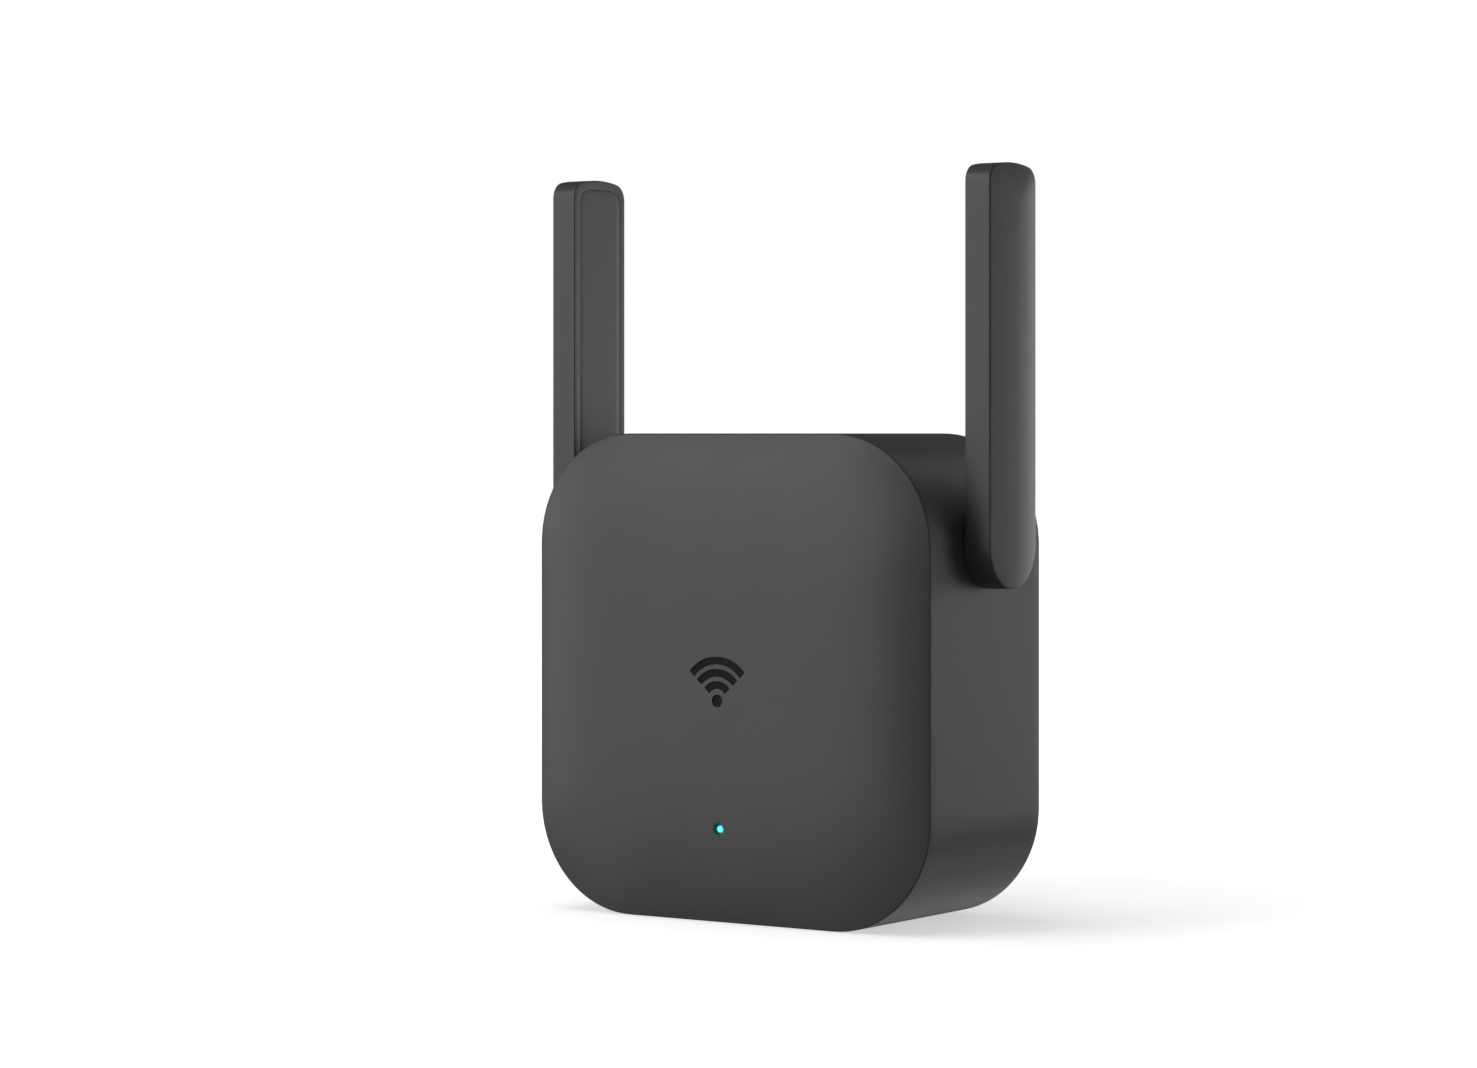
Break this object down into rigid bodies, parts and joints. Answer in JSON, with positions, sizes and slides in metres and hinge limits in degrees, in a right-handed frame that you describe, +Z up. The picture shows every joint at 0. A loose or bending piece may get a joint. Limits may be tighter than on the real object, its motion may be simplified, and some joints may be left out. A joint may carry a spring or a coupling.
{
  "type": "wifi range extender",
  "caption": "Wall-plug wireless range extender: rounded square dark grey housing with a crowned front and a folding flat antenna on each side.",
  "frame": {"origin": "under the middle of the whole object, on the surface its flat underside stands on", "axes": "+Z up, +X to the right seen from the front, the crowned front faces -Y and the plug pins point along +Y"},
  "size_m": [0.08, 0.0599, 0.112],
  "materials": {
    "shell": "fine matt moulded texture, dark grey",
    "inlay": "sunk darker sign",
    "lamp": "clear light guide, lit teal",
    "label": "blank satin label",
    "board": "solder-masked glass-fibre board",
    "chip": "moulded epoxy",
    "tin": "tin-plated steel",
    "nickel": "nickel-plated brass",
    "copper": "etched copper",
    "gold_contact": "gold-plated contact",
    "black_plastic": "smooth black plastic",
    "ferrite": "sintered ferrite",
    "tape": "polyester tape",
    "wire_red": "wire insulation",
    "can_sleeve": "shrunk sleeve",
    "disc_blue": "dipped disc",
    "white_part": "off-white plastic",
    "sheet": "insulating sheet"
  },
  "bodies": {
    "housing": {"front_housing": "shell", "rear_cover": "shell", "front_emblem": "inlay", "light_guide": "lamp", "rating_label": "label", "main_board": "board", "wifi_chip": "chip", "flash_chip": "chip", "clock_crystal": "tin", "shield_can": "tin", "status_led": "white_part", "reset_switch": "chip", "coax_sockets": "gold_contact", "main_capacitors": "can_sleeve", "power_inductor": "chip", "dc_connector": "white_part", "dc_lead_positive": "wire_red", "dc_lead_negative": "black_plastic", "main_board_screws": "tin", "power_board": "board", "transformer_core": "ferrite", "transformer_bobbin": "black_plastic", "transformer_winding": "tape", "input_capacitors": "can_sleeve", "output_capacitors": "can_sleeve", "bridge_rectifier": "chip", "fuse_resistor": "white_part", "filter_inductor": "ferrite", "controller_chip": "chip", "safety_capacitor": "disc_blue", "output_diode": "chip", "power_board_screws": "tin", "insulation_sheet": "sheet", "plug_pins": "nickel", "pin_sleeves": "black_plastic", "left_friction_washer": "black_plastic", "left_body_coax": "black_plastic", "right_friction_washer": "black_plastic", "right_body_coax": "black_plastic"},
    "left_antenna": {"left_antenna_shell": "shell", "left_antenna_cover": "shell", "left_pivot_tube": "black_plastic", "left_radiator_board": "board", "left_radiator_trace": "copper", "left_antenna_coax": "black_plastic", "left_retaining_clip": "tin"},
    "right_antenna": {"right_antenna_shell": "shell", "right_antenna_cover": "shell", "right_pivot_tube": "black_plastic", "right_radiator_board": "board", "right_radiator_trace": "copper", "right_antenna_coax": "black_plastic", "right_retaining_clip": "tin"},
    "reset_button": {"reset_plunger": "white_part"}
  },
  "joints": [
    {"name": "left_antenna_fold", "type": "hinge", "parent": "housing", "child": "left_antenna", "pos_m": [-0.034, -0.01115, 0.0564], "axis": [1, 0, 0], "range_deg": [0, 180]},
    {"name": "right_antenna_fold", "type": "hinge", "parent": "housing", "child": "right_antenna", "pos_m": [0.034, -0.01115, 0.0564], "axis": [1, 0, 0], "range_deg": [0, 180]},
    {"name": "reset_press", "type": "slide", "parent": "housing", "child": "reset_button", "axis": [0, 0, 1], "range_m": [0, 0.00025], "stiffness_N_per_m": 2000, "springref_m": -0.0002}
  ]
}
